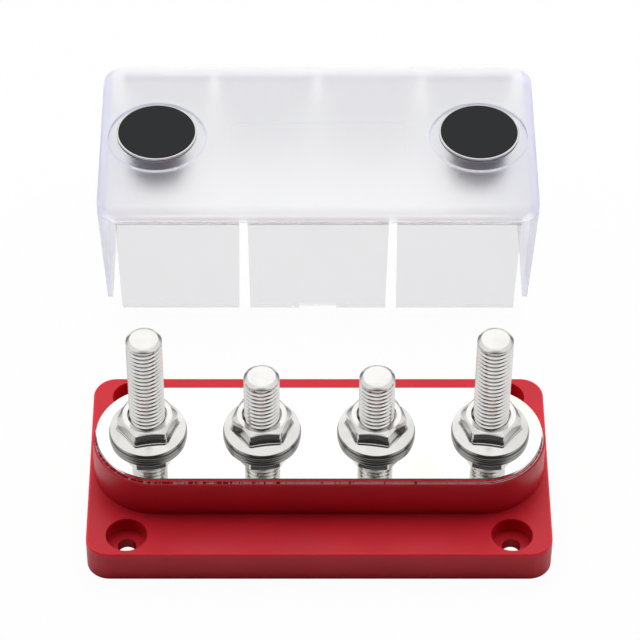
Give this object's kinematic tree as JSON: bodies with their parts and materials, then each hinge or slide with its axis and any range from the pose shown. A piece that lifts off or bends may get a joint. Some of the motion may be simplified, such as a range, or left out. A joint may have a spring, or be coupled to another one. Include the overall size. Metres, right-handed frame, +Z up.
{
  "type": "bus bar",
  "caption": "Stud bus bar: a plated bar on a moulded base with threaded studs, washers and flange nuts, and a clear cover with turning knobs stood behind it.",
  "frame": {"origin": "centre of the base's underside, the face that is screwed down", "axes": "+X along the bar, +Y towards the back where the cover stands, +Z up along the studs"},
  "size_m": [0.13, 0.1676, 0.0624],
  "materials": {
    "red_moulding": "satin red moulded plastic",
    "nickel_plate": "bright nickel plate over brass, polished, faintly brushed",
    "stainless_steel": "bright stainless steel",
    "clear_moulding": "clear moulded plastic, finely textured on top",
    "knob_metal": "turned metal with a bright lip",
    "black_cap": "satin black"
  },
  "bodies": {
    "base_assembly": {"base": "red_moulding", "bus_bar": "nickel_plate", "long_bolt_1": "stainless_steel", "short_bolt_2": "stainless_steel", "short_bolt_3": "stainless_steel", "long_bolt_4": "stainless_steel"},
    "washer_1": {"washer_1": "stainless_steel"},
    "nut_1": {"nut_1": "stainless_steel"},
    "washer_2": {"washer_2": "stainless_steel"},
    "nut_2": {"nut_2": "stainless_steel"},
    "washer_3": {"washer_3": "stainless_steel"},
    "nut_3": {"nut_3": "stainless_steel"},
    "washer_4": {"washer_4": "stainless_steel"},
    "nut_4": {"nut_4": "stainless_steel"},
    "cover": {"cover": "clear_moulding"},
    "knob_left": {"knob_left": "knob_metal", "knob_cap_left": "black_cap"},
    "knob_right": {"knob_right": "knob_metal", "knob_cap_right": "black_cap"}
  },
  "joints": [
    {"name": "nut_1_turn", "type": "hinge", "parent": "base_assembly", "child": "washer_1", "pos_m": [-0.048, 0, 0.024], "axis": [0, 0, 1], "range_deg": [0, 8640]},
    {"name": "nut_1_rise", "type": "slide", "parent": "washer_1", "child": "nut_1", "axis": [0, 0, 1], "range_m": [0, 0.036]},
    {"name": "nut_2_turn", "type": "hinge", "parent": "base_assembly", "child": "washer_2", "pos_m": [-0.016, 0, 0.024], "axis": [0, 0, 1], "range_deg": [0, 5040]},
    {"name": "nut_2_rise", "type": "slide", "parent": "washer_2", "child": "nut_2", "axis": [0, 0, 1], "range_m": [0, 0.021]},
    {"name": "nut_3_turn", "type": "hinge", "parent": "base_assembly", "child": "washer_3", "pos_m": [0.016, 0, 0.024], "axis": [0, 0, 1], "range_deg": [0, 5040]},
    {"name": "nut_3_rise", "type": "slide", "parent": "washer_3", "child": "nut_3", "axis": [0, 0, 1], "range_m": [0, 0.021]},
    {"name": "nut_4_turn", "type": "hinge", "parent": "base_assembly", "child": "washer_4", "pos_m": [0.048, 0, 0.024], "axis": [0, 0, 1], "range_deg": [0, 8640]},
    {"name": "nut_4_rise", "type": "slide", "parent": "washer_4", "child": "nut_4", "axis": [0, 0, 1], "range_m": [0, 0.036]},
    {"name": "cover_lift", "type": "slide", "parent": "base_assembly", "child": "cover", "axis": [0, 0, 1], "range_m": [0, 0.07]},
    {"name": "knob_left_turn", "type": "hinge", "parent": "cover", "child": "knob_left", "pos_m": [-0.048, 0.102, 0.04], "axis": [0, 0, 1], "continuous": true},
    {"name": "knob_right_turn", "type": "hinge", "parent": "cover", "child": "knob_right", "pos_m": [0.048, 0.102, 0.04], "axis": [0, 0, 1], "continuous": true}
  ],
  "couplings": [
    {"joint": "nut_1_rise", "follows": "nut_1_turn", "m_per_rad": 0.00023873},
    {"joint": "nut_2_rise", "follows": "nut_2_turn", "m_per_rad": 0.00023873},
    {"joint": "nut_3_rise", "follows": "nut_3_turn", "m_per_rad": 0.00023873},
    {"joint": "nut_4_rise", "follows": "nut_4_turn", "m_per_rad": 0.00023873}
  ]
}
